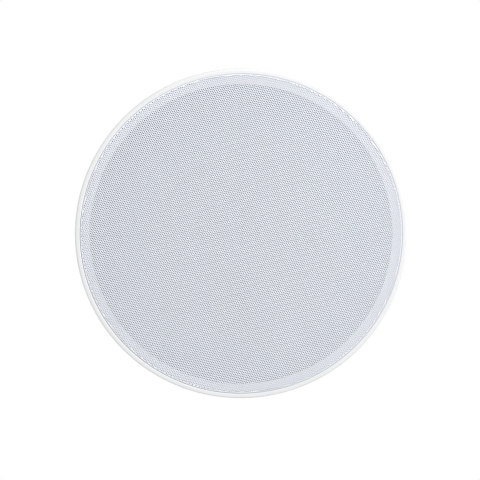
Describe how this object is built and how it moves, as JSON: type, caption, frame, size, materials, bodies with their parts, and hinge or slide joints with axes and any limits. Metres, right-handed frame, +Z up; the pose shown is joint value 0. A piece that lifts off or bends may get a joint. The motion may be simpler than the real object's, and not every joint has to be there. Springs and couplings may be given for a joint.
{
  "type": "in-ceiling speaker",
  "caption": "Round in-ceiling speaker with a flush perforated white grille in a thin lip, swing-out clamps and a two-way driver with an aimable tweeter behind it.",
  "frame": {"origin": "centre of the ceiling cut-out, on the plane of the ceiling's surface", "axes": "+Z up into the ceiling void, the grille facing -Z; +Y towards the crossover board and terminals"},
  "size_m": [0.24, 0.24, 0.0923],
  "materials": {
    "white_plastic": "fine matt moulded texture",
    "white_powder_coat": "smooth white powder coat",
    "grey_cloth": "thin open-weave cloth",
    "nickel": "bright nickel plate",
    "zinc_steel": "bright zinc plate",
    "black_nylon": "glass-filled nylon, matt",
    "black_paint": "satin black paint",
    "black_foam": "closed-cell foam",
    "black_rubber": "soft matt rubber",
    "cone_plastic": "mica-filled polypropylene, satin",
    "coil_former": "thin rolled foil",
    "copper_wire": "enamelled copper wire",
    "spider_cloth": "resin-dipped weave",
    "plate_steel": "turned and zinc passivated",
    "ferrite": "dull ground ferrite",
    "grey_plastic": "matt moulded plastic",
    "silk": "coated silk",
    "board_green": "solder-masked glass fibre board",
    "bobbin_plastic": "moulded nylon",
    "capacitor_sleeve": "shrink sleeve",
    "resistor_cement": "cement-filled ceramic",
    "red_plastic": "moulded plastic",
    "black_plastic": "moulded plastic",
    "phenolic": "paper phenolic board",
    "tinned_brass": "tinned brass",
    "red_sleeve": "soft wire sleeve",
    "black_sleeve": "soft wire sleeve"
  },
  "bodies": {
    "frame": {"frame": "white_plastic", "grille_magnets": "nickel", "woofer_basket": "black_paint", "woofer_gasket": "black_foam", "woofer_screws": "zinc_steel", "woofer_surround": "black_rubber", "woofer_spider": "spider_cloth", "top_plate": "plate_steel", "ferrite_magnet": "ferrite", "pole_yoke": "plate_steel", "tweeter_post": "grey_plastic", "tweeter_post_nut": "zinc_steel", "crossover_board": "board_green", "crossover_board_screws": "zinc_steel", "crossover_bobbin": "bobbin_plastic", "crossover_winding": "copper_wire", "crossover_capacitors": "capacitor_sleeve", "crossover_resistor": "resistor_cement", "terminal_block": "black_plastic", "woofer_tag_strip": "phenolic", "woofer_tags": "tinned_brass", "woofer_lead_red": "red_sleeve", "woofer_lead_black": "black_sleeve", "tweeter_lead": "black_sleeve"},
    "grille": {"grille": "white_powder_coat", "grille_scrim": "grey_cloth"},
    "cone": {"woofer_cone": "cone_plastic", "voice_coil_former": "coil_former", "voice_coil_winding": "copper_wire"},
    "tweeter_cup": {"tweeter_cup": "grey_plastic"},
    "tweeter_pod": {"tweeter_pod": "grey_plastic", "tweeter_pivot_pins": "zinc_steel", "tweeter_faceplate": "grey_plastic", "tweeter_dome": "silk", "tweeter_motor_pot": "zinc_steel", "tweeter_magnet": "nickel", "tweeter_pole_plate": "plate_steel"},
    "terminal_button_red": {"terminal_button_red": "red_plastic"},
    "terminal_button_black": {"terminal_button_black": "black_plastic"},
    "clamp_screw_1": {"clamp_screw_1": "zinc_steel"},
    "clamp_leg_1": {"clamp_leg_1": "black_nylon"},
    "clamp_screw_2": {"clamp_screw_2": "zinc_steel"},
    "clamp_leg_2": {"clamp_leg_2": "black_nylon"},
    "clamp_screw_3": {"clamp_screw_3": "zinc_steel"},
    "clamp_leg_3": {"clamp_leg_3": "black_nylon"},
    "clamp_screw_4": {"clamp_screw_4": "zinc_steel"},
    "clamp_leg_4": {"clamp_leg_4": "black_nylon"}
  },
  "joints": [
    {"name": "grille_pull", "type": "slide", "parent": "frame", "child": "grille", "axis": [0, 0, -1], "range_m": [0, 0.05]},
    {"name": "cone_travel", "type": "slide", "parent": "frame", "child": "cone", "axis": [0, 0, 1], "range_m": [-0.003, 0.003], "stiffness_N_per_m": 1200, "deforming": ["woofer_surround", "woofer_spider"]},
    {"name": "tweeter_turn", "type": "hinge", "parent": "frame", "child": "tweeter_cup", "pos_m": [0, 0, 0.01], "axis": [0, 0, 1], "range_deg": [-90, 90]},
    {"name": "tweeter_tilt", "type": "hinge", "parent": "tweeter_cup", "child": "tweeter_pod", "pos_m": [0, 0, 0.01], "axis": [1, 0, 0], "range_deg": [-15, 15]},
    {"name": "terminal_push_red", "type": "slide", "parent": "frame", "child": "terminal_button_red", "axis": [0, 0, -1], "range_m": [0, 0.0025], "stiffness_N_per_m": 600, "springref_m": -0.002},
    {"name": "terminal_push_black", "type": "slide", "parent": "frame", "child": "terminal_button_black", "axis": [0, 0, -1], "range_m": [0, 0.0025], "stiffness_N_per_m": 600, "springref_m": -0.002},
    {"name": "clamp_swing_1", "type": "hinge", "parent": "frame", "child": "clamp_screw_1", "pos_m": [0.06824, 0.06824, 0.0035], "axis": [0, 0, 1], "range_deg": [0, 100]},
    {"name": "clamp_travel_1", "type": "slide", "parent": "clamp_screw_1", "child": "clamp_leg_1", "axis": [0, 0, -1], "range_m": [0, 0.038]},
    {"name": "clamp_swing_2", "type": "hinge", "parent": "frame", "child": "clamp_screw_2", "pos_m": [-0.06824, 0.06824, 0.0035], "axis": [0, 0, 1], "range_deg": [0, 100]},
    {"name": "clamp_travel_2", "type": "slide", "parent": "clamp_screw_2", "child": "clamp_leg_2", "axis": [0, 0, -1], "range_m": [0, 0.038]},
    {"name": "clamp_swing_3", "type": "hinge", "parent": "frame", "child": "clamp_screw_3", "pos_m": [-0.06824, -0.06824, 0.0035], "axis": [0, 0, 1], "range_deg": [0, 100]},
    {"name": "clamp_travel_3", "type": "slide", "parent": "clamp_screw_3", "child": "clamp_leg_3", "axis": [0, 0, -1], "range_m": [0, 0.038]},
    {"name": "clamp_swing_4", "type": "hinge", "parent": "frame", "child": "clamp_screw_4", "pos_m": [0.06824, -0.06824, 0.0035], "axis": [0, 0, 1], "range_deg": [0, 100]},
    {"name": "clamp_travel_4", "type": "slide", "parent": "clamp_screw_4", "child": "clamp_leg_4", "axis": [0, 0, -1], "range_m": [0, 0.038]}
  ]
}
